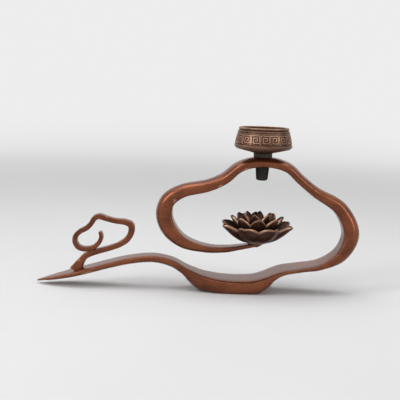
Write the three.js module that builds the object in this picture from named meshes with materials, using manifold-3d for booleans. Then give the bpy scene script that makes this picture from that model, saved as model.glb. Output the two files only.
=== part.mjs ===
// A backflow incense burner: a bronze ribbon bent into a cloud scroll, with a cup on its crest,
// a lotus on its inner arm and a small cloud curl on its blade.
// Millimetres. X runs to the right from the blade's tip, Y away from the viewer, Z up.
// The origin is the middle of the foot, on the table.
import * as THREE from 'three';
import { mergeVertices } from 'three/addons/utils/BufferGeometryUtils.js';
import Module from 'manifold-3d';

const wasm = await Module();
wasm.setup();

// Fits
const FIT = 0.3; // left between two pieces that touch

// The ribbon, from the blade's tip to the end of the arm under the lotus.
// Each station is [x, z, thickness, depth] at the middle of the section.
const CREST_X = 18.2;
const CREST_Z = 85.2;
const CREST_THICKNESS = 6.4;
const LOTUS_X = 16.4;
const ARM_END_Z = 30.6;
const ARM_END_THICKNESS = 2.4;
const RIBBON = [
  [-126, 1.9, 1.0, 1.6],
  [-114, 4.6, 2.8, 12],
  [-101, 7.9, 3.8, 17.5],
  [-79, 14.3, 4.2, 17],
  [-66, 17.6, 4.6, 15],
  [-50, 19.4, 4.9, 13.5],
  [-36, 16.4, 5.2, 14.5],
  [-24, 10.4, 5.6, 18],
  [0, 4.9, 5.8, 25],
  [17, 6.2, 5.2, 25],
  [30, 12.9, 3.8, 24],
  [46, 16.2, 3.5, 23],
  [59, 18.6, 4.8, 21],
  [72, 26.2, 8.6, 18],
  [77.6, 40, 10.8, 15],
  [70, 56.2, 9.2, 14],
  [53, 66.8, 6.8, 15],
  [43.2, 74.4, 6.4, 16.5],
  [34, 82.2, 6.4, 19],
  [CREST_X, CREST_Z, CREST_THICKNESS, 20],
  [4, 81.8, 6.6, 19],
  [-6, 73.6, 7.2, 17],
  [-16, 68.8, 7.6, 16],
  [-33, 64.4, 8.4, 15],
  [-41.8, 58, 9.8, 15],
  [-44, 48.8, 10.8, 15],
  [-40.6, 39.4, 10.4, 15],
  [-31.5, 31.2, 8, 15],
  [-17, 27.2, 5.2, 13],
  [-4, 27, 4.2, 11],
  [6, 28.6, 3.2, 9.5],
  [LOTUS_X, ARM_END_Z, ARM_END_THICKNESS, 9],
  [LOTUS_X + 5.5, 31.4, 1.6, 6],
];
const RINGS_PER_STATION = 3;
const SECTION_POINTS = 24;
const INNER_SQUARENESS = 5; // the face towards the loop is flat with crisp edges
const OUTER_SQUARENESS = 2.3; // the face away from it is rounded
const INNER_SHARE = 0.4; // how much of the thickness lies on the flat side

// The oval foot
const FOOT_LENGTH = 47;
const FOOT_DEPTH = 25;
const FOOT_HEIGHT = 4.2;
const FOOT_TAPER = 1.2; // the top is smaller all round by this

// The smoke tube: a tapered plug wedged in the crest, with a neck that carries the cup
const TUBE_BOTTOM_Z = 73.1;
const TUBE_BOTTOM_RADIUS = 3.7;
const TUBE_PLUG_RADIUS = 5.0; // at the crest
const TUBE_CHAMFER = 0.8;
const NECK_RADIUS = 6.0;
const NECK_HEIGHT = 2.4;
const SPIGOT_RADIUS = 3.4;
const SPIGOT_HEIGHT = 4.6;
const SMOKE_BORE_RADIUS = 1.6;
const BORE_MOUTH_RADIUS = 2.4;
const SPOT_FACE_DEPTH = 0.6;

// The cup
const CUP_HEIGHT = 16.2;
const CUP_RIM_RADIUS = 16.1;
const CUP_BELLY_RADIUS = 18.6;
const CUP_BELLY_HEIGHT = 4.8;
const CUP_WALL = 1.7;
const CUP_FLOOR = 2.2;
const CUP_FOOT_RADIUS = 7;
const RIB = 0.45; // how far a rib stands out
const RIB_WIDTH = 0.9;
const FRET_BAND_BOTTOM = 5.9;
const FRET_BAND_TOP = 11.4;
const UPPER_RIB_HEIGHT = 12.6;

// The seat for the cone, in the cup
const SEAT_RADIUS = 8;
const SEAT_HEIGHT = 2.4;
const SEAT_DISH = 0.8;

// The lotus: three tiers of petals round a seed pod
const PETALS = 8;
const LOTUS_BASE_RADIUS = 7;
const LOTUS_BASE_THICKNESS = 1.8;
const PETAL_THICKNESS = 1.1;
const TIERS = [
  { name: 'lotus_outer_petals', count: PETALS, reach: 24, rise: 13.2, width: 19, start: 4.4, lift: 0, turn: 0, curl: 1.9 },
  { name: 'lotus_middle_petals', count: PETALS, reach: 16, rise: 12.4, width: 13, start: 3.9, lift: 2.4, turn: 0.5, curl: 0.9 },
  { name: 'lotus_inner_petals', count: 6, reach: 9.6, rise: 11.2, width: 9.6, start: 3.4, lift: 4.8, turn: 0.25, curl: 0.2 },
];
const POD_RADIUS = 4.6;
const POD_HEIGHT = 5.2;
const SEED_COUNT = 6;
const SEED_RADIUS = 0.7;
const STUD_RADIUS = 1.4;
const STUD_HEAD_RADIUS = 2.8;
const STUD_HEAD_HEIGHT = 1.2;

// The small cloud curl: [x, z, thickness] along the middle of its strip
const SPRIG_DEPTH = 5.6;
const SPRIG_X = -98.8;
const SPRIG_SQUARENESS = 6;
const SPRIG_LEG = [
  [-98.2, 14.6, 5.4],
  [-97.4, 17.8, 4.4],
  [-93.9, 20.3, 3.8],
  [-86.1, 22.6, 3.8],
  [-78.3, 25.4, 3.8],
  [-71.8, 28.2, 4],
  [-67.1, 32, 4.3],
  [-65, 36.7, 4.3],
  [-65.8, 40.6, 4.2],
  [-69.4, 42.6, 4],
  [-75.1, 43.2, 3.8],
  [-81.2, 44.6, 3.8],
  [-85.6, 45.6, 3.9],
];
const SPRIG_CURL = [
  [-81.2, 44.6, 3.8],
  [-85.8, 45.7, 3.9],
  [-89, 44.4, 3.9],
  [-91.3, 41, 3.8],
  [-94.2, 37.8, 3.7],
  [-98.4, 35.4, 3.7],
  [-101.2, 32.4, 3.7],
  [-101.7, 28.8, 3.7],
  [-99.6, 25.2, 3.6],
  [-95.3, 23.9, 3.6],
  [-90.1, 25, 3.5],
  [-86.4, 28, 3.4],
  [-84.6, 32.1, 3.2],
  [-85.2, 35.7, 2.8],
];
const SPRIG_PEG_RADIUS = 1.2;
const SPRIG_PEG_LENGTH = 5;

const ROUND = 40; // facets round a turned piece
const SMALL_ROUND = 16;

const bronze = (color) => new THREE.MeshStandardMaterial({ color, metalness: 1, roughness: 0.4 });
const ribbonBronze = () => bronze(0x7a5246);
const cupBronze = () => bronze(0x5c463b);
const darkBronze = () => bronze(0x2b211d);

function toManifold(geometry) {
  const bare = geometry.clone();
  bare.deleteAttribute('normal');
  bare.deleteAttribute('uv');
  const merged = mergeVertices(bare, 1e-4);
  return new wasm.Manifold(new wasm.Mesh({
    numProp: 3,
    vertProperties: new Float32Array(merged.attributes.position.array),
    triVerts: new Uint32Array(merged.index.array),
  }));
}

function toMesh(name, solid, material) {
  const data = solid.getMesh();
  const geometry = new THREE.BufferGeometry();
  geometry.setAttribute('position', new THREE.BufferAttribute(new Float32Array(data.vertProperties), 3));
  geometry.setIndex(new THREE.BufferAttribute(new Uint32Array(data.triVerts), 1));
  geometry.computeVertexNormals();
  const mesh = new THREE.Mesh(geometry, material);
  mesh.name = name;
  return mesh;
}

// A turned solid about Z from [radius, height] points that run from the axis or close on themselves.
function turned(points, facets = ROUND) {
  const profile = points.map(([radius, height]) => new THREE.Vector2(radius, height));
  const geometry = new THREE.LatheGeometry(profile, facets);
  geometry.rotateX(Math.PI / 2);
  return toManifold(geometry);
}

// The points of a turned solid go up its outside, so that its faces look outward.
const cylinder = (radius, bottom, top, facets = ROUND) => (
  turned([[0, bottom], [radius, bottom], [radius, top], [0, top]], facets)
);

const cone = (bottomRadius, topRadius, bottom, top, facets = ROUND) => (
  turned([[0, bottom], [bottomRadius, bottom], [topRadius, top], [0, top]], facets)
);

// A closed skin over rings of points, with a fan on each end.
function skin(rings) {
  const count = rings[0].length;
  const positions = [];
  for (const ring of rings) {
    for (const point of ring) positions.push(point.x, point.y, point.z);
  }
  const index = [];
  for (let r = 0; r + 1 < rings.length; r += 1) {
    for (let i = 0; i < count; i += 1) {
      const a = r * count + i;
      const b = r * count + ((i + 1) % count);
      index.push(a, b, a + count, b, b + count, a + count);
    }
  }
  for (const [ring, flip] of [[0, true], [rings.length - 1, false]]) {
    const middle = new THREE.Vector3();
    rings[ring].forEach((point) => middle.addScaledVector(point, 1 / count));
    const centre = positions.length / 3;
    positions.push(middle.x, middle.y, middle.z);
    for (let i = 0; i < count; i += 1) {
      const a = ring * count + i;
      const b = ring * count + ((i + 1) % count);
      index.push(...(flip ? [centre, b, a] : [centre, a, b]));
    }
  }
  const geometry = new THREE.BufferGeometry();
  geometry.setAttribute('position', new THREE.Float32BufferAttribute(positions, 3));
  geometry.setIndex(index);
  const solid = toManifold(geometry);
  if (solid.volume() > 0) return solid;
  for (let i = 0; i < index.length; i += 3) [index[i], index[i + 1]] = [index[i + 1], index[i]];
  geometry.setIndex(index);
  return toManifold(geometry);
}

const signedPower = (value, power) => Math.sign(value) * Math.abs(value) ** power;

// A strip in the XZ plane. The middle line and the sizes run smoothly through the stations.
class Strip {
  constructor(stations, depthOf, innerSquareness, outerSquareness, innerShare) {
    this.line = new THREE.CatmullRomCurve3(stations.map(([x, z]) => new THREE.Vector3(x, 0, z)), false, 'centripetal');
    this.sizes = new THREE.CatmullRomCurve3(
      stations.map((station) => new THREE.Vector3(station[2], depthOf(station), 0)),
      false,
      'catmullrom',
      0.4,
    );
    this.last = stations.length - 1;
    Object.assign(this, { innerSquareness, outerSquareness, innerShare });
  }

  at(u) {
    const middle = this.line.getPoint(u);
    const tangent = this.line.getTangent(u);
    const size = this.sizes.getPoint(u);
    const outward = new THREE.Vector3(tangent.z, 0, -tangent.x);
    return { middle, tangent, outward, thickness: size.x, depth: size.y };
  }

  ring(u) {
    const { middle, outward, thickness, depth } = this.at(u);
    return Array.from({ length: SECTION_POINTS }, (_, i) => {
      const angle = (2 * Math.PI * i) / SECTION_POINTS;
      const isOuter = Math.sin(angle) >= 0;
      const power = 2 / (isOuter ? this.outerSquareness : this.innerSquareness);
      const reach = thickness * (isOuter ? 1 - this.innerShare : this.innerShare);
      const shift = thickness * (this.innerShare - 0.5);
      return middle.clone()
        .addScaledVector(outward, shift + reach * signedPower(Math.sin(angle), power))
        .add(new THREE.Vector3(0, (depth / 2) * signedPower(Math.cos(angle), power), 0));
    });
  }

  solid(ringsPerStation) {
    const count = this.last * ringsPerStation;
    return skin(Array.from({ length: count + 1 }, (_, i) => this.ring(i / count)));
  }

  // Where the middle line passes x between two stations: the heights of its two faces and its slope.
  faceAt(x, firstStation, lastStation) {
    let low = firstStation / this.last;
    let high = lastStation / this.last;
    for (let step = 0; step < 40; step += 1) {
      const middle = (low + high) / 2;
      const before = (this.line.getPoint(low).x - x) * (this.line.getPoint(middle).x - x);
      if (before > 0) low = middle;
      else high = middle;
    }
    const { middle, tangent, thickness } = this.at(low);
    const half = thickness / 2 / Math.abs(tangent.x);
    return { top: middle.z + half, bottom: middle.z - half, slope: Math.atan2(tangent.z, tangent.x) };
  }
}

const ribbon = new Strip(RIBBON, (station) => station[3], INNER_SQUARENESS, OUTER_SQUARENESS, INNER_SHARE);

// Heights that follow from the ribbon
const crestTop = CREST_Z + CREST_THICKNESS / 2;
const tubeSeat = crestTop - SPOT_FACE_DEPTH;
const cupBottom = tubeSeat + FIT + NECK_HEIGHT + FIT;
const armTop = ARM_END_Z + ARM_END_THICKNESS / 2;
const armBottom = ARM_END_Z - ARM_END_THICKNESS / 2;
const armSpot = 0.3; // the arm is dressed flat under the lotus and under the stud
const lotusBottom = armTop - armSpot + FIT;
const plugTaper = (TUBE_PLUG_RADIUS - TUBE_BOTTOM_RADIUS) / (tubeSeat - TUBE_BOTTOM_Z);
const plugRadiusAt = (z) => TUBE_BOTTOM_RADIUS + plugTaper * (z - TUBE_BOTTOM_Z);
const sprigSeat = ribbon.faceAt(SPRIG_X, 1, 3);

function buildScrollBody() {
  const foot = turned([
    [0, 0],
    [1, 0],
    [1, 0.12],
    [1 - FOOT_TAPER / (FOOT_DEPTH / 2), 1],
    [0, 1],
  ]);
  let body = ribbon.solid(RINGS_PER_STATION).add(foot.scale([FOOT_LENGTH / 2, FOOT_DEPTH / 2, FOOT_HEIGHT]));
  // Nothing reaches under the table.
  body = body.subtract(cylinder(200, -20, 0));
  // The tapered hole in the crest and the flat that the neck stands on
  const holeBottom = CREST_Z - CREST_THICKNESS;
  const hole = cone(plugRadiusAt(holeBottom) + FIT, plugRadiusAt(crestTop + 1) + FIT, holeBottom, crestTop + 1);
  const spotFace = cylinder(NECK_RADIUS + 2 * FIT, tubeSeat, crestTop + 4);
  body = body.subtract(hole.add(spotFace).translate([CREST_X, 0, 0]));
  // The arm's end: a flat above and below, and the stud's hole
  const flats = cylinder(LOTUS_BASE_RADIUS + 1, armTop - armSpot, armTop + 1.5)
    .add(cylinder(STUD_HEAD_RADIUS + FIT, armBottom - 1.5, armBottom + armSpot, SMALL_ROUND))
    .add(cylinder(STUD_RADIUS + FIT, armBottom - 1, armTop + 1, SMALL_ROUND));
  body = body.subtract(flats.translate([LOTUS_X, 0, 0]));
  // The peg hole for the small cloud
  const pegHole = cylinder(SPRIG_PEG_RADIUS + FIT, sprigSeat.bottom + 1, sprigSeat.top + 2, SMALL_ROUND);
  return toMesh('scroll_body', body.subtract(pegHole.translate([SPRIG_X, 0, 0])), ribbonBronze());
}

function buildSmokeTube() {
  const neckBottom = tubeSeat + FIT;
  const neckTop = neckBottom + NECK_HEIGHT;
  const spigotTop = neckTop + SPIGOT_HEIGHT;
  const tube = turned([
    [BORE_MOUTH_RADIUS, TUBE_BOTTOM_Z],
    [TUBE_BOTTOM_RADIUS - TUBE_CHAMFER, TUBE_BOTTOM_Z],
    [TUBE_BOTTOM_RADIUS + plugTaper * TUBE_CHAMFER, TUBE_BOTTOM_Z + TUBE_CHAMFER],
    [plugRadiusAt(neckBottom), neckBottom],
    [NECK_RADIUS, neckBottom],
    [NECK_RADIUS, neckTop],
    [SPIGOT_RADIUS, neckTop],
    [SPIGOT_RADIUS, spigotTop],
    [SMOKE_BORE_RADIUS, spigotTop],
    [SMOKE_BORE_RADIUS, TUBE_BOTTOM_Z + 3],
    [BORE_MOUTH_RADIUS, TUBE_BOTTOM_Z],
  ], 32);
  return toMesh('smoke_tube', tube.translate([CREST_X, 0, 0]), darkBronze());
}

// The cup's outside: [radius, height above the cup's bottom]
function cupOutside() {
  const slope = (CUP_RIM_RADIUS - CUP_BELLY_RADIUS) / (CUP_HEIGHT - CUP_BELLY_HEIGHT);
  const wallAt = (height) => CUP_BELLY_RADIUS + slope * (height - CUP_BELLY_HEIGHT);
  const rib = (height) => [
    [wallAt(height) - RIB, height],
    [wallAt(height), height + RIB_WIDTH / 4],
    [wallAt(height), height + (3 * RIB_WIDTH) / 4],
    [wallAt(height) - RIB, height + RIB_WIDTH],
  ];
  return [
    [CUP_FOOT_RADIUS, 0],
    [CUP_BELLY_RADIUS - 1.4, CUP_BELLY_HEIGHT - 2],
    [CUP_BELLY_RADIUS - 0.3, CUP_BELLY_HEIGHT - 1],
    [CUP_BELLY_RADIUS, CUP_BELLY_HEIGHT],
    [wallAt(FRET_BAND_BOTTOM - 0.3), FRET_BAND_BOTTOM - 0.3],
    [wallAt(FRET_BAND_BOTTOM) - RIB, FRET_BAND_BOTTOM],
    [wallAt(FRET_BAND_TOP) - RIB, FRET_BAND_TOP],
    ...rib(UPPER_RIB_HEIGHT),
    [wallAt(CUP_HEIGHT - 1.4) - RIB, CUP_HEIGHT - 1.4],
    [CUP_RIM_RADIUS, CUP_HEIGHT - 1],
    [CUP_RIM_RADIUS, CUP_HEIGHT - 0.3],
    [CUP_RIM_RADIUS - 0.3, CUP_HEIGHT],
  ];
}

function buildCup() {
  const spigotHole = SPIGOT_RADIUS + FIT;
  const cup = turned([
    [spigotHole, 0],
    ...cupOutside(),
    [CUP_RIM_RADIUS - CUP_WALL, CUP_HEIGHT],
    [CUP_BELLY_RADIUS - CUP_WALL - RIB, CUP_BELLY_HEIGHT + 0.6],
    [CUP_BELLY_RADIUS - CUP_WALL - 3, CUP_FLOOR + 1.2],
    [SEAT_RADIUS + 1, CUP_FLOOR],
    [spigotHole, CUP_FLOOR],
    [spigotHole, 0],
  ]);
  return toMesh('censer_cup', cup.translate([CREST_X, 0, cupBottom]), cupBronze());
}

function buildConeSeat() {
  const underside = CUP_FLOOR + FIT;
  const pocketRadius = SPIGOT_RADIUS + FIT;
  const pocketTop = SPIGOT_HEIGHT - FIT + FIT;
  const top = pocketTop + SEAT_HEIGHT / 2;
  const seat = turned([
    [pocketRadius, underside],
    [SEAT_RADIUS, underside],
    [SEAT_RADIUS, top - 0.5],
    [SEAT_RADIUS - 0.5, top],
    [SEAT_RADIUS - 2.2, top],
    [SMOKE_BORE_RADIUS + 0.6, top - SEAT_DISH],
    [SMOKE_BORE_RADIUS, pocketTop],
    [pocketRadius, pocketTop],
    [pocketRadius, underside],
  ], 32);
  return toMesh('cone_seat', seat.translate([CREST_X, 0, cupBottom]), cupBronze());
}

// One petal along +X: a cupped leaf that rises to its pointed tip and rolls back at its rim.
function petal({ reach, rise, width, start, curl }) {
  const along = 9;
  const across = 6;
  const widthAt = (u) => (width / 2) * Math.sin(Math.PI * Math.min(1, 0.16 + 0.84 * u)) ** 0.75 * (1 - 0.12 * u);
  const point = (u, v, lower) => {
    const half = Math.max(widthAt(u), 0.35);
    const cupping = 0.16 * half * v * v;
    const thickness = PETAL_THICKNESS * (lower ? 1 : 0);
    const radius = start + (reach - start) * u ** 0.92;
    const height = PETAL_THICKNESS + rise * (0.18 * u + 0.82 * u ** 1.9) + cupping - curl * u ** 6;
    return new THREE.Vector3(radius + 0.35 * thickness * u, half * v, height - thickness);
  };
  const rings = [];
  for (let i = 0; i <= along; i += 1) {
    const u = i / along;
    const ring = [];
    for (let j = 0; j <= across; j += 1) ring.push(point(u, (2 * j) / across - 1, false));
    for (let j = across; j >= 0; j -= 1) ring.push(point(u, (2 * j) / across - 1, true));
    rings.push(ring);
  }
  return skin(rings);
}

function buildTier(tier) {
  const leaf = petal(tier);
  let solid = cylinder(LOTUS_BASE_RADIUS - (tier.lift ? 1 : 0), 0, LOTUS_BASE_THICKNESS, 32);
  for (let i = 0; i < tier.count; i += 1) {
    solid = solid.add(leaf.rotate([0, 0, (360 * (i + tier.turn)) / tier.count]));
  }
  solid = solid.subtract(cylinder(STUD_RADIUS + FIT, -1, tier.rise, SMALL_ROUND));
  return toMesh(tier.name, solid.translate([LOTUS_X, 0, lotusBottom + tier.lift]), cupBronze());
}

function buildSeedPod(podBottom) {
  let pod = turned([
    [0, 0],
    [POD_RADIUS * 0.55, 0],
    [POD_RADIUS, POD_HEIGHT - 0.6],
    [POD_RADIUS - 0.5, POD_HEIGHT],
    [0, POD_HEIGHT],
  ], 32);
  for (let i = 0; i < SEED_COUNT; i += 1) {
    const angle = (2 * Math.PI * i) / SEED_COUNT;
    const place = [POD_RADIUS * 0.62 * Math.cos(angle), POD_RADIUS * 0.62 * Math.sin(angle), 0];
    pod = pod.add(cone(SEED_RADIUS, SEED_RADIUS * 0.5, POD_HEIGHT - 0.2, POD_HEIGHT + 0.5, 10).translate(place));
  }
  const studSocket = cylinder(STUD_RADIUS + FIT, -1, POD_HEIGHT * 0.5, SMALL_ROUND);
  return toMesh('lotus_seed_pod', pod.subtract(studSocket).translate([LOTUS_X, 0, podBottom]), cupBronze());
}

function buildStud(podBottom) {
  const headTop = armBottom + armSpot - FIT;
  const top = podBottom + POD_HEIGHT * 0.5 - FIT;
  const stud = turned([
    [0, headTop - STUD_HEAD_HEIGHT],
    [STUD_HEAD_RADIUS * 0.6, headTop - STUD_HEAD_HEIGHT],
    [STUD_HEAD_RADIUS, headTop - STUD_HEAD_HEIGHT * 0.4],
    [STUD_HEAD_RADIUS, headTop],
    [STUD_RADIUS, headTop],
    [STUD_RADIUS, top],
    [0, top],
  ], SMALL_ROUND);
  return toMesh('lotus_stud', stud.translate([LOTUS_X, 0, 0]), darkBronze());
}

function buildSprig() {
  const strip = (stations) => (
    new Strip(stations, () => SPRIG_DEPTH, SPRIG_SQUARENESS, SPRIG_SQUARENESS, 0.5).solid(2)
  );
  // A flared foot that stands on the blade, cut to the blade's slope
  const flare = cone(4.4, 2.6, -2, 5, 24)
    .scale([1, SPRIG_DEPTH / 8.8, 1])
    .translate([SPRIG_X + 0.4, 0, sprigSeat.top + 1]);
  const slope = THREE.MathUtils.radToDeg(sprigSeat.slope);
  const below = cylinder(30, -30, FIT).rotate([0, -slope, 0]).translate([SPRIG_X, 0, sprigSeat.top]);
  const pegHole = cylinder(SPRIG_PEG_RADIUS + FIT, -5, SPRIG_PEG_LENGTH / 2 + FIT, SMALL_ROUND)
    .translate([SPRIG_X, 0, sprigSeat.top]);
  const cloud = strip(SPRIG_LEG).add(strip(SPRIG_CURL)).add(flare).subtract(below).subtract(pegHole);
  return toMesh('cloud_sprig', cloud, ribbonBronze());
}

function buildSprigPeg() {
  const peg = cylinder(SPRIG_PEG_RADIUS, sprigSeat.bottom + 1 + FIT, sprigSeat.top + SPRIG_PEG_LENGTH / 2, SMALL_ROUND);
  return toMesh('sprig_peg', peg.translate([SPRIG_X, 0, 0]), darkBronze());
}

const podBottom = lotusBottom + TIERS[TIERS.length - 1].lift + LOTUS_BASE_THICKNESS + FIT;

const burner = new THREE.Group();
burner.name = 'backflow_incense_burner';
burner.add(
  buildScrollBody(),
  buildSmokeTube(),
  buildCup(),
  buildConeSeat(),
  ...TIERS.map(buildTier),
  buildSeedPod(podBottom),
  buildStud(podBottom),
  buildSprig(),
  buildSprigPeg(),
);

export default burner;
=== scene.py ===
import math

import bmesh
import bpy
import numpy as np
from mathutils import Matrix, Vector


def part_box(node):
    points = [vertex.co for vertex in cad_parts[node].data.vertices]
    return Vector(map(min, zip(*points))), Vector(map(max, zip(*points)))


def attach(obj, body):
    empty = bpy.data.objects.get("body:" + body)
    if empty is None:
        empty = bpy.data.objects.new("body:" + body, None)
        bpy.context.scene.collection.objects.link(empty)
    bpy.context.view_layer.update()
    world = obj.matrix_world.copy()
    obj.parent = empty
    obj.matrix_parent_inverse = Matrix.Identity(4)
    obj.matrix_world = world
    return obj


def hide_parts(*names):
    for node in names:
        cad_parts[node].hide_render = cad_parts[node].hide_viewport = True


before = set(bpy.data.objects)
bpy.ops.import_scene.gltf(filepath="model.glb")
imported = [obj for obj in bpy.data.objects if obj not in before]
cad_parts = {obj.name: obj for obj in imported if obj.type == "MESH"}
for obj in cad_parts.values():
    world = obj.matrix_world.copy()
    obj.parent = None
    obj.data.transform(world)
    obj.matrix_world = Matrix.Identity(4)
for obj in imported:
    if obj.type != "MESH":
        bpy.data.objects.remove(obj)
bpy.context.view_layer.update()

MM = 0.001  # the forms below are written in millimetres

# The ribbon, from the blade's tip to the arm's end: x, z, thickness and depth of each section.
CREST_X = 18.2
LOTUS_X = 16.4
RIBBON = [
    (-126, 1.9, 1.0, 1.6), (-114, 4.6, 2.8, 12), (-101, 7.9, 3.8, 17.5), (-79, 14.3, 4.2, 17),
    (-66, 17.6, 4.6, 15), (-50, 19.4, 4.9, 13.5), (-38, 17, 5.2, 14.3), (-30, 12.6, 5.8, 16.5),
    (-24.5, 8.9, 8.6, 19.5), (-18, 5.2, 11.4, 22.5), (-7, 3.2, 11.4, 25), (6, 2.8, 11.2, 25.5),
    (16.5, 3.7, 11.2, 25.5), (22.5, 6.6, 9.2, 25.2), (27.5, 10.4, 5.8, 24.8), (34, 13.8, 3.9, 24.2),
    (46, 16.2, 3.5, 23),
    (59, 18.6, 4.8, 21), (72, 26.2, 8.6, 18), (77.6, 40, 10.8, 15), (70, 56.2, 9.2, 14),
    (53, 66.8, 6.8, 15), (43.2, 74.4, 6.4, 16.5), (34, 82.2, 6.4, 19), (CREST_X, 85.2, 6.4, 20),
    (4, 81.8, 6.6, 19), (-6, 73.6, 7.2, 17), (-16, 68.8, 7.6, 16), (-33, 64.4, 8.4, 15),
    (-41.8, 58, 9.8, 15), (-44, 48.8, 10.8, 15), (-40.6, 39.4, 10.4, 15), (-31.5, 31.2, 8, 15),
    (-17, 27.2, 5.2, 13), (-4, 27, 4.2, 11), (6, 28.6, 3.2, 9.5), (LOTUS_X, 30.6, 2.4, 8),
    (LOTUS_X + 3.4, 31.1, 1.8, 5),
]
INNER_SQUARENESS = 5  # the face towards the loop is flat with crisp edges
OUTER_SQUARENESS = 2.3  # the face away from it is rounded
INNER_SHARE = 0.4

# The small cloud: x, z and thickness along its strip
SPRIG_DEPTH = 5.6
SPRIG_SQUARENESS = 6
SPRIG_LEG = [
    (-100.8, 9.4, 8.6), (-99.3, 12.6, 6.4), (-97.3, 15.9, 4.8), (-94.8, 19.2, 3.9), (-89.3, 21.8, 3.5),
    (-78.3, 25.4, 3.4), (-71.8, 28.2, 3.6), (-67.1, 32, 3.9), (-64.9, 37, 4.1), (-65.4, 40.9, 4.2),
    (-69.2, 42.7, 3.7), (-75.1, 43.2, 3.3), (-81.2, 44.6, 3.3), (-85.6, 45.8, 3.5),
]
SPRIG_CURL = [
    (-81.2, 44.6, 3.3), (-85.9, 45.9, 3.5), (-89, 44.6, 3.5), (-91.2, 41, 3.3), (-94.2, 37.9, 3.3),
    (-98.4, 35.5, 3.3), (-101.1, 32.4, 3.3), (-101.6, 28.8, 3.3), (-99.5, 25.3, 3.3), (-95.3, 24, 3.2),
    (-90.1, 25, 3.1), (-86.4, 28, 3), (-84.6, 32.1, 2.7), (-85.4, 36, 2.1),
]

# The cup's band and its key fret
RIB = 0.45
FRET_UNITS = 18
FRET_LINE = 0.46  # width of a raised line
FRET_PATH = [
    (0, 0.04), (0, 0.96), (0.86, 0.96), (0.86, 0.2), (0.24, 0.2), (0.24, 0.74), (0.64, 0.74), (0.64, 0.44),
    (0.46, 0.44),
]


# Shader values


class Value:
    """A shader value. Used in a sum or a product, it adds the Math node for it."""

    def __init__(self, paint, socket):
        self.paint = paint
        self.socket = socket

    def _math(self, operation, first, second=0.0):
        return self.paint.node("ShaderNodeMath", {"operation": operation}, {0: first, 1: second})

    def __add__(self, other):
        return self._math("ADD", self, other)

    __radd__ = __add__

    def __sub__(self, other):
        return self._math("SUBTRACT", self, other)

    def __rsub__(self, other):
        return self._math("SUBTRACT", other, self)

    def __mul__(self, other):
        return self._math("MULTIPLY", self, other)

    __rmul__ = __mul__

    def between(self, low, high):
        """0 below low, 1 above high, and a smooth step from one to the other."""
        return self.paint.node(
            "ShaderNodeMapRange",
            {"interpolation_type": "SMOOTHSTEP"},
            {"Value": self, "From Min": low, "From Max": high},
        )


class Paint:
    """A material or a world under the brush: adds nodes to it and feeds its shader."""

    def __init__(self, owner, shader="Principled BSDF"):
        owner.use_nodes = True
        self.owner = owner
        self.tree = owner.node_tree
        self.shader = self.tree.nodes[shader]

    def node(self, kind, settings=None, values=None, output=0):
        node = self.tree.nodes.new(kind)
        for name, setting in (settings or {}).items():
            setattr(node, name, setting)
        for name, value in (values or {}).items():
            if isinstance(value, Value):
                self.tree.links.new(value.socket, node.inputs[name])
            else:
                node.inputs[name].default_value = value
        return Value(self, node.outputs[output])

    def noise(self, size, detail=4.0, roughness=0.55, stretch=(1, 1, 1)):
        """Clouds whose patches are about size millimetres across."""
        around = self.node("ShaderNodeTexCoord", output="Object")
        place = self.node("ShaderNodeMapping", {}, {"Vector": around, "Scale": stretch})
        return self.node(
            "ShaderNodeTexNoise",
            {},
            {"Vector": place, "Scale": 1 / (size * MM), "Detail": detail, "Roughness": roughness},
        )

    def mix(self, share, first, second):
        return self.node("ShaderNodeMix", {"data_type": "RGBA"}, {0: share, 6: first, 7: second}, 2)

    def bump(self, height, distance, strength=1.0):
        values = {"Height": height, "Distance": distance, "Strength": strength}
        return self.node("ShaderNodeBump", {}, values)

    def seen(self):
        """1 where the camera, a gloss or glass looks at it, 0 where it only gives light."""
        camera, gloss, glass = (
            self.node("ShaderNodeLightPath", output=ray)
            for ray in ("Is Camera Ray", "Is Glossy Ray", "Is Transmission Ray")
        )
        return (camera + gloss + glass).between(0, 1)

    def cover(self, share, colour):
        """Lays an even glow of the colour over the shader, by the share."""
        own = Value(self, self.shader.outputs[0])
        glow = self.node("ShaderNodeEmission", {}, {"Color": colour})
        mixed = self.node("ShaderNodeMixShader", {}, {0: share, 1: own, 2: glow})
        self.tree.links.new(mixed.socket, self.tree.nodes["Material Output"].inputs["Surface"])

    def feed(self, **sockets):
        for name, value in sockets.items():
            socket = self.shader.inputs[name.replace("_", " ")]
            if isinstance(value, Value):
                self.tree.links.new(value.socket, socket)
            else:
                socket.default_value = value


def patinated_bronze(name, hollow, body, worn, metal, rough, grain, lacquer, wear_low=0.5, wear_high=0.58):
    """Cast bronze: darker and lighter in clouds and streaks, lighter where hands and cloths have rubbed
    its edges.
    """
    paint = Paint(bpy.data.materials.new(name))
    clouds = paint.noise(26, 5)
    streaks = paint.noise(7, 4, 0.6, (0.35, 1, 1))
    specks = paint.noise(1.1, 3)
    edges = paint.node("ShaderNodeNewGeometry", output="Pointiness")
    tone = (clouds * 0.6 + streaks * 0.4).between(0.36, 0.62)
    wear = edges.between(wear_low, wear_high) * (0.45 + 0.55 * streaks.between(0.35, 0.6))
    colour = paint.mix(tone, hollow, body)
    colour = paint.mix(wear, colour, worn)
    paint.feed(
        Base_Color=colour,
        Metallic=metal,
        Roughness=rough + 0.16 * streaks + 0.1 * specks - 0.08 * wear,
        Coat_Weight=lacquer,
        Coat_Roughness=0.25,
        Specular_IOR_Level=0.35,
        Normal=paint.bump(specks * 0.5 + clouds * 0.5, grain * MM, 0.35),
    )
    return paint.owner


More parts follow.
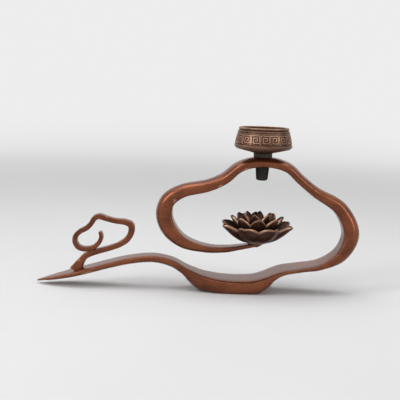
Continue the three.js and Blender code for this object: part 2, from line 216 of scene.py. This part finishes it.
ribbon_bronze = patinated_bronze(
    "polished_red_bronze",
    hollow=(0.11, 0.031, 0.013, 1),
    body=(0.215, 0.064, 0.025, 1),
    worn=(0.55, 0.28, 0.17, 1),
    metal=0.7,
    rough=0.15,
    grain=0.025,
    lacquer=0.12,
    wear_low=0.51,
    wear_high=0.6,
)
cup_bronze = patinated_bronze(
    "dull_brown_bronze",
    hollow=(0.05, 0.019, 0.011, 1),
    body=(0.115, 0.05, 0.03, 1),
    worn=(0.38, 0.22, 0.14, 1),
    metal=0.6,
    rough=0.33,
    grain=0.1,
    lacquer=0.04,
)
lotus_bronze = patinated_bronze(
    "lotus_brown_bronze",
    hollow=(0.032, 0.012, 0.007, 1),
    body=(0.1, 0.041, 0.023, 1),
    worn=(0.36, 0.2, 0.125, 1),
    metal=0.6,
    rough=0.26,
    grain=0.14,
    lacquer=0.06,
    wear_low=0.51,
    wear_high=0.6,
)
fret_bronze = patinated_bronze(
    "fret_bronze",
    hollow=(0.11, 0.04, 0.023, 1),
    body=(0.185, 0.085, 0.052, 1),
    worn=(0.42, 0.25, 0.165, 1),
    metal=0.6,
    rough=0.32,
    grain=0.06,
    lacquer=0.04,
)
# Near black: partly a dark patina, and partly painted shade where the tube's neck stands in the cup's
# shadow.
dark_bronze = patinated_bronze(
    "dark_patina_and_painted_shade",
    hollow=(0.005, 0.004, 0.003, 1),
    body=(0.014, 0.009, 0.007, 1),
    worn=(0.05, 0.032, 0.024, 1),
    metal=0.2,
    rough=0.5,
    grain=0.08,
    lacquer=0.0,
)


# Forms


CREASE = 35.0  # degrees: a bend sharper than this shows as an edge


def form(name, points, faces, crease=CREASE):
    """A piece from points in millimetres, smooth but for creases sharper than the angle."""
    mesh = bpy.data.meshes.new(name)
    mesh.from_pydata([tuple(np.asarray(p, float) * MM) for p in points], [], faces)
    work = bmesh.new()
    work.from_mesh(mesh)
    bmesh.ops.recalc_face_normals(work, faces=work.faces)
    work.to_mesh(mesh)
    work.free()
    mesh.shade_smooth()
    mesh.set_sharp_from_angle(angle=math.radians(crease))
    piece = bpy.data.objects.new(name, mesh)
    bpy.context.scene.collection.objects.link(piece)
    return piece


def skin(rings, first=0):
    """The faces over rings of points, closed at both ends. first is the number of the first point."""
    count = len(rings[0])
    faces = []
    for r in range(len(rings) - 1):
        for i in range(count):
            a = first + r * count + i
            b = first + r * count + (i + 1) % count
            faces.append((a, b, b + count, a + count))
    faces.append(tuple(first + i for i in reversed(range(count))))
    last = first + (len(rings) - 1) * count
    faces.append(tuple(last + i for i in range(count)))
    return faces


def lofted(name, bodies, crease=CREASE):
    """One piece of several bodies, each a list of rings."""
    points, faces = [], []
    for rings in bodies:
        faces += skin(rings, len(points))
        points += [p for ring in rings for p in ring]
    return form(name, points, faces, crease)


def turned(name, profile, x, z, facets=144, crease=30.0):
    """A turned piece: profile is [radius, height], a line that closes on itself."""
    points, faces = [], []
    count = len(profile)
    for k in range(facets):
        angle = 2 * math.pi * k / facets
        points += [(x + r * math.cos(angle), r * math.sin(angle), z + h) for r, h in profile]
    for k in range(facets):
        for i in range(count):
            j = (i + 1) % count
            a, b = k * count, ((k + 1) % facets) * count
            faces.append((a + i, b + i, b + j, a + j))
    return form(name, points, faces, crease)


def cubic(a, b, start, end):
    """The cubic from a to b that leaves and arrives with the given slopes."""
    return np.array([a, start, -3 * a + 3 * b - 2 * start - end, 2 * a - 2 * b + start + end])


def spline(points, steps, tension=None):
    """A smooth line through the points: its places and its directions.

    With no tension, its pace follows the square roots of the chords.
    """
    p = np.asarray(points, float)
    p = np.vstack([2 * p[0] - p[1], p, 2 * p[-1] - p[-2]])
    places, directions = [], []
    for k in range(1, len(p) - 2):
        p0, p1, p2, p3 = p[k - 1 : k + 3]
        if tension is None:
            d0, d1, d2 = (math.sqrt(np.linalg.norm(b - a)) for a, b in ((p0, p1), (p1, p2), (p2, p3)))
            start = ((p1 - p0) / d0 - (p2 - p0) / (d0 + d1) + (p2 - p1) / d1) * d1
            end = ((p2 - p1) / d1 - (p3 - p1) / (d1 + d2) + (p3 - p2) / d2) * d1
        else:
            start, end = tension * (p2 - p0), tension * (p3 - p1)
        c = cubic(p1, p2, start, end)
        is_last = k == len(p) - 3
        for t in np.linspace(0, 1, steps + 1)[: None if is_last else -1]:
            places.append(c[0] + c[1] * t + c[2] * t**2 + c[3] * t**3)
            directions.append(c[1] + 2 * c[2] * t + 3 * c[3] * t**2)
    return np.array(places), np.array(directions)


def swell(value, power):
    """The value to a power, with its sign kept: it squares or rounds a section."""
    return math.copysign(abs(value) ** power, value)


def strip(stations, inner, outer, share, depth=None, steps=10, around=72):
    """The rings of a strip in the XZ plane: flat towards the loop's inside, rounded away from it."""
    line, direction = spline([s[:2] for s in stations], steps)
    sizes, _ = spline([(s[2], s[3] if depth is None else depth) for s in stations], steps, 0.4)
    direction /= np.linalg.norm(direction, axis=1)[:, None]
    rings = []
    for (x, z), (tx, tz), (thickness, width) in zip(line, direction, sizes):
        ring = []
        for i in range(around):
            angle = 2 * math.pi * i / around
            is_outer = math.sin(angle) >= 0
            power = 2 / (outer if is_outer else inner)
            reach = thickness * ((1 - share) if is_outer else share)
            out = thickness * (share - 0.5) + reach * swell(math.sin(angle), power)
            side = width / 2 * swell(math.cos(angle), power)
            ring.append((x + tz * out, side, z - tx * out))
        rings.append(ring)
    return rings


def cut(piece, cutter):
    """Takes the cutter out of the piece, and does away with the cutter."""
    modifier = piece.modifiers.new("cut", "BOOLEAN")
    modifier.operation = "DIFFERENCE"
    modifier.solver = "EXACT"
    modifier.object = cutter
    graph = bpy.context.evaluated_depsgraph_get()
    mesh = bpy.data.meshes.new_from_object(piece.evaluated_get(graph))
    piece.modifiers.clear()
    piece.data = mesh
    bpy.data.objects.remove(cutter)
    mesh.set_sharp_from_angle(angle=math.radians(CREASE))


def finish_piece(piece, material, body, slot, *nodes):
    """Gives a piece its metal, the body it rides on and the solids it stands for."""
    piece.data.materials.clear()
    piece.data.materials.append(material)
    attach(piece, body)
    if nodes:
        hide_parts(*nodes)


# The ribbon and its foot

ribbon = lofted("bronze_ribbon", [strip(RIBBON, INNER_SQUARENESS, OUTER_SQUARENESS, INNER_SHARE)])
# The taper hole through the crest: radius and height of its ends, past the ribbon's faces.
HOLE_FOOT = (4.2, 76)
HOLE_MOUTH = (5.5, 92)
AXIS = 0.01  # a turned line ends this near its axis
hole_line = [(AXIS, HOLE_FOOT[1]), HOLE_FOOT, HOLE_MOUTH, (AXIS, HOLE_MOUTH[1])]
crest_hole = turned("crest_hole", hole_line, CREST_X, 0, 64)
cut(ribbon, crest_hole)
# The foot's underside is ground flat, which leaves it oval.
GROUND_X, GROUND_Y, GROUND_DEPTH = 60, 30, 12
corners = ((-GROUND_X, -GROUND_Y), (GROUND_X, -GROUND_Y), (GROUND_X, GROUND_Y), (-GROUND_X, GROUND_Y))
slab = [[(x, y, z) for x, y in corners] for z in (-GROUND_DEPTH, 0)]
below_table = lofted("below_table", [slab])
cut(ribbon, below_table)
finish_piece(ribbon, ribbon_bronze, "scroll", "ribbon_bronze", "scroll_body")

# The small cloud

cloud_parts = [
    strip(part, SPRIG_SQUARENESS, SPRIG_SQUARENESS, 0.5, SPRIG_DEPTH, 8, 40)
    for part in (SPRIG_LEG, SPRIG_CURL)
]
cloud = lofted("cloud_strip", cloud_parts, 50)
finish_piece(cloud, ribbon_bronze, "scroll", "ribbon_bronze", "cloud_sprig")

# The cup

cup_low, cup_high = (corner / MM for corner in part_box("censer_cup"))
CUP_HEIGHT = cup_high.z - cup_low.z
BELLY_RADIUS = (cup_high.x - cup_low.x) / 2
BELLY_HEIGHT = 4.8
RIM_RADIUS = 16.1
WALL = 1.7
BAND_BOTTOM = 5.9
BAND_TOP = 11.9


def wall_at(height):
    """The outer radius of the cup's sloping wall."""
    share = (height - BELLY_HEIGHT) / (CUP_HEIGHT - BELLY_HEIGHT)
    return BELLY_RADIUS + (RIM_RADIUS - BELLY_RADIUS) * share


def round_rib(height, width):
    """A half-round rib on the cup's wall, from its lower edge up."""
    return [
        (wall_at(height) - RIB + RIB * math.sin(a), height + width * (0.5 - 0.5 * math.cos(a)))
        for a in np.linspace(0, math.pi, 7)
    ]


def cup_profile():
    """The cup's line: out along its underside, up its ribbed wall, and down its inside."""
    spigot = 3.7
    return [
        (spigot, 0),
        (6.6, 0),
        (7.2, 0.2),
        (BELLY_RADIUS - 1.6, BELLY_HEIGHT - 2.2),
        (BELLY_RADIUS - 0.7, BELLY_HEIGHT - 1.5),
        (BELLY_RADIUS - 0.2, BELLY_HEIGHT - 0.8),
        (BELLY_RADIUS, BELLY_HEIGHT - 0.2),
        (BELLY_RADIUS - 0.1, BELLY_HEIGHT + 0.5),
        (wall_at(BAND_BOTTOM) - RIB, BAND_BOTTOM - 0.2),
        (wall_at(BAND_TOP) - RIB, BAND_TOP),
        *round_rib(BAND_TOP + 0.3, 0.7),
        *round_rib(BAND_TOP + 1.6, 0.6),
        (wall_at(CUP_HEIGHT) - RIB, CUP_HEIGHT - 1.4),
        (RIM_RADIUS - 0.1, CUP_HEIGHT - 1.1),
        (RIM_RADIUS, CUP_HEIGHT - 0.7),
        (RIM_RADIUS - 0.1, CUP_HEIGHT - 0.25),
        (RIM_RADIUS - 0.5, CUP_HEIGHT),
        (RIM_RADIUS - WALL + 0.3, CUP_HEIGHT),
        (RIM_RADIUS - WALL, CUP_HEIGHT - 0.3),
        (BELLY_RADIUS - WALL - RIB, BELLY_HEIGHT + 0.6),
        (BELLY_RADIUS - WALL - 1.4, BELLY_HEIGHT - 0.9),
        (BELLY_RADIUS - WALL - 3, 3.4),
        (9, 2.2),
        (spigot, 2.2),
    ]


def fret_bar(unit, start, end):
    """One raised line of the key fret, laid on the cup's sloping wall."""
    pitch = 2 * math.pi / FRET_UNITS
    span = BAND_TOP - BAND_BOTTOM
    half_turn = FRET_LINE / 2 / wall_at(BAND_BOTTOM)
    half_rise = FRET_LINE / 2
    turns = sorted(pitch * (unit + s) for s in (start[0], end[0]))
    rises = sorted(BAND_BOTTOM + span * h for h in (start[1], end[1]))
    bottom, top = rises[0] - half_rise, rises[1] + half_rise
    chamfer = 0.12
    rings = []
    for angle in np.linspace(turns[0] - half_turn, turns[1] + half_turn, 5):
        section = [
            (wall_at(bottom) - RIB - 0.1, bottom),
            (wall_at(bottom) - chamfer, bottom),
            (wall_at(bottom) - 0.02, bottom + chamfer),
            (wall_at(top) - 0.02, top - chamfer),
            (wall_at(top) - chamfer, top),
            (wall_at(top) - RIB - 0.1, top),
        ]
        rings.append([
            (CREST_X + r * math.cos(angle), r * math.sin(angle), cup_low.z + h) for r, h in section
        ])
    return rings


cup = turned("cup_body", cup_profile(), CREST_X, cup_low.z)
finish_piece(cup, cup_bronze, "cup", "cup_bronze", "censer_cup")
fret = lofted(
    "cup_key_fret",
    [fret_bar(unit, a, b) for unit in range(FRET_UNITS) for a, b in zip(FRET_PATH, FRET_PATH[1:])],
    25,
)
finish_piece(fret, fret_bronze, "cup", "cup_bronze")

# The lotus

PETAL_THICKNESS = 1.0
TIERS = [
    # node, piece, petals, reach, rise, width, start, turn, roll
    ("lotus_outer_petals", "petals_outer", 8, 24, 13.4, 18, 4.2, 0.5, 1.8),
    ("lotus_middle_petals", "petals_middle", 8, 16.6, 15, 14, 3.4, 0, 0.5),
    ("lotus_inner_petals", "petals_inner", 6, 9, 14, 11, 3, 0.25, 0),
]
BEAD = 0.28  # height of the bead along a petal's rim
BEAD_SHARE = 0.15  # its width, as a share of half the petal's
VEINS = 9
VEIN = 0.13  # height of a vein
CUPPING = 0.42  # how far a petal is hollowed, as a share of half its width


def petal_rings(reach, rise, width, start, roll, angle, x, z):
    """A petal cupped like a spoon, with a bead along its rim and fine veins from its root."""
    along, across = 30, 28
    turn = Matrix.Rotation(angle, 3, "Z")

    def spine(u):
        radius = start + (reach - start) * (1.18 * u - 0.18 * u * u)
        return radius, PETAL_THICKNESS + rise * (0.08 * u + 0.92 * u**1.8) - roll * u**7

    rings = []
    for i in range(along + 1):
        u = i / along
        radius, height = spine(u)
        near, far = spine(max(u - 0.01, 0)), spine(u + 0.01)
        slope = math.atan2(far[1] - near[1], far[0] - near[0])
        fullness = 0.36 + 0.64 * math.sin(math.pi / 2 * min(1, u / 0.6))
        half = max(width / 2 * fullness * (1 - u**3.3) ** 0.7, 0.25)
        upper, lower = [], []
        for j in range(across + 1):
            v = 2 * j / across - 1
            bead = BEAD * math.exp(-(((1 - abs(v)) / BEAD_SHARE) ** 2)) * min(1, u * 3)
            vein = VEIN * math.cos(math.pi * VEINS * v) * (1 - v * v) * u
            cupping = CUPPING * half * v * v
            for side, lift in ((upper, cupping + bead + vein), (lower, cupping - PETAL_THICKNESS)):
                out = radius - lift * math.sin(slope)
                side.append(turn @ Vector((out, half * v, height + lift * math.cos(slope))))
        rings.append([(x + p.x, p.y, z + p.z) for p in upper + lower[::-1]])
    return rings


def petal_base(radius, x, z):
    """The round plate that a tier's petals grow from."""
    turns = np.linspace(0, 2 * math.pi, 48, endpoint=False)
    steps = ((radius - 0.4, 0), (radius, 0.4), (radius, 1.4), (radius - 0.4, 1.8))
    return [[(x + r * math.cos(a), r * math.sin(a), z + h) for a in turns] for r, h in steps]


for node, piece_name, count, reach, rise, width, start, turn, roll in TIERS:
    base_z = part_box(node)[0].z / MM
    bodies = [petal_base(6.5, LOTUS_X, base_z)]
    for k in range(count):
        angle = 2 * math.pi * (k + turn) / count
        bodies.append(petal_rings(reach, rise, width, start, roll, angle, LOTUS_X, base_z))
    tier = lofted(piece_name, bodies, 60)
    finish_piece(tier, lotus_bronze, "scroll", "cup_bronze", node)

ARM_UNDERSIDE = 29.4
RIVET_RADIUS = 1.4
HEAD_RADIUS = 2
HEAD_DEPTH = 0.5
HEAD_TOP = 0.1  # the head's flat lies this far inside the arm
rivet_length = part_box("lotus_stud")[1].z / MM - ARM_UNDERSIDE
rivet_line = [
    (AXIS, -HEAD_DEPTH),
    (0.45 * HEAD_RADIUS, -0.9 * HEAD_DEPTH),
    (0.8 * HEAD_RADIUS, -0.5 * HEAD_DEPTH),
    (HEAD_RADIUS, HEAD_TOP),
    (RIVET_RADIUS, HEAD_TOP),
    (RIVET_RADIUS, rivet_length),
    (AXIS, rivet_length),
]
rivet = turned("lotus_rivet", rivet_line, LOTUS_X, ARM_UNDERSIDE, 32)
finish_piece(rivet, dark_bronze, "scroll", "dark_bronze", "lotus_stud")

# The solids that stay as they are

for node, material in (
    ("smoke_tube", dark_bronze),
    ("cone_seat", cup_bronze),
    ("lotus_seed_pod", lotus_bronze),
    ("sprig_peg", dark_bronze),
):
    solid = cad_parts[node]
    solid.data.materials.clear()
    solid.data.materials.append(material)
    solid.data.shade_smooth()
    solid.data.set_sharp_from_angle(angle=math.radians(30))

# Camera, floor and light

CAMERA_PLACE = Vector((-21.13, -500, 134)) * MM
CAMERA_PITCH = math.radians(8.56)
CAMERA_ROLL = math.radians(2)
FOCAL_PIXELS = 781.25  # in a frame 400 pixels wide
FRAME_PIXELS = 400
SENSOR = 36

camera = bpy.data.objects.new("camera", bpy.data.cameras.new("camera"))
camera.data.sensor_width = SENSOR
camera.data.lens = SENSOR * FOCAL_PIXELS / FRAME_PIXELS
camera.data.clip_start = 0.01
forward = Vector((0, math.cos(CAMERA_PITCH), -math.sin(CAMERA_PITCH)))
level = Vector((1, 0, 0))
above = level.cross(forward)
right = math.cos(CAMERA_ROLL) * level + math.sin(CAMERA_ROLL) * above
up = math.cos(CAMERA_ROLL) * above - math.sin(CAMERA_ROLL) * level
facing = Matrix((right, up, -forward)).transposed()
camera.matrix_world = Matrix.Translation(CAMERA_PLACE) @ facing.to_4x4()
bpy.context.scene.collection.objects.link(camera)
bpy.context.scene.camera = camera


PALE = (0.85, 0.85, 0.85, 1)  # what the camera and the metal see behind the object
SOFT_LIGHT = (0.5, 0.5, 0.51, 1)
NEAR, FAR = 0.25, 1.3  # metres from the object over which the table turns into the even backdrop


def pale_floor():
    """The table: it takes light and shadow near the object, and further off it is an even pale grey."""
    paint = Paint(bpy.data.materials.new("pale_table"))
    grain = paint.noise(90, 3)
    around = paint.node("ShaderNodeTexCoord", output="Object")
    distance = paint.node("ShaderNodeVectorMath", {"operation": "LENGTH"}, {0: around}, "Value")
    paint.feed(
        Base_Color=paint.mix(grain, (0.62, 0.62, 0.62, 1), (0.66, 0.66, 0.66, 1)),
        Roughness=0.6 + 0.1 * grain,
        Normal=paint.bump(grain, 0.2 * MM, 0.1),
    )
    paint.cover(distance.between(NEAR, FAR) * paint.seen(), PALE)
    return paint.owner


def studio_world():
    """Soft even light on the object. The camera and the metal see it as the pale backdrop."""
    world = bpy.data.worlds.new("studio")
    bpy.context.scene.world = world
    paint = Paint(world, "Background")
    paint.feed(Color=paint.mix(paint.seen(), SOFT_LIGHT, PALE))


def sweep_of_paper():
    """A paper sweep: flat under the object, then curving up behind it."""
    back, bend = 900, 900
    front, top, side = -4000, 4000, 5000
    drop = 0.2  # the paper lies just under the foot
    profile = [(front, 0), (back, 0)]
    for a in np.linspace(0.08, math.pi / 2, 20):
        profile.append((back + bend * math.sin(a), bend * (1 - math.cos(a))))
    profile.append((back + bend, top))
    points = [(x, y, z - drop) for y, z in profile for x in (-side, side)]
    faces = [(2 * k, 2 * k + 1, 2 * k + 3, 2 * k + 2) for k in range(len(profile) - 1)]
    return form("paper_sweep", points, faces, 60)


floor = sweep_of_paper()
floor.data.materials.append(pale_floor())


def softbox(name, place, aim, width, height, watts):
    light = bpy.data.lights.new(name, "AREA")
    light.shape = "RECTANGLE"
    light.size, light.size_y = width, height
    light.energy = watts
    lamp = bpy.data.objects.new(name, light)
    lamp.location = place
    lamp.rotation_euler = (Vector(aim) - Vector(place)).to_track_quat("-Z", "Y").to_euler()
    bpy.context.scene.collection.objects.link(lamp)


AIM = (0, 0, 0.05)
softbox("top_softbox", (0, 0.05, 0.75), AIM, 0.9, 0.5, 4)
softbox("left_softbox", (-0.6, -0.35, 0.5), AIM, 0.22, 0.5, 2.6)
softbox("right_softbox", (0.7, -0.45, 0.35), AIM, 0.14, 0.5, 1.5)
studio_world()
bpy.context.scene.view_settings.view_transform = "Standard"
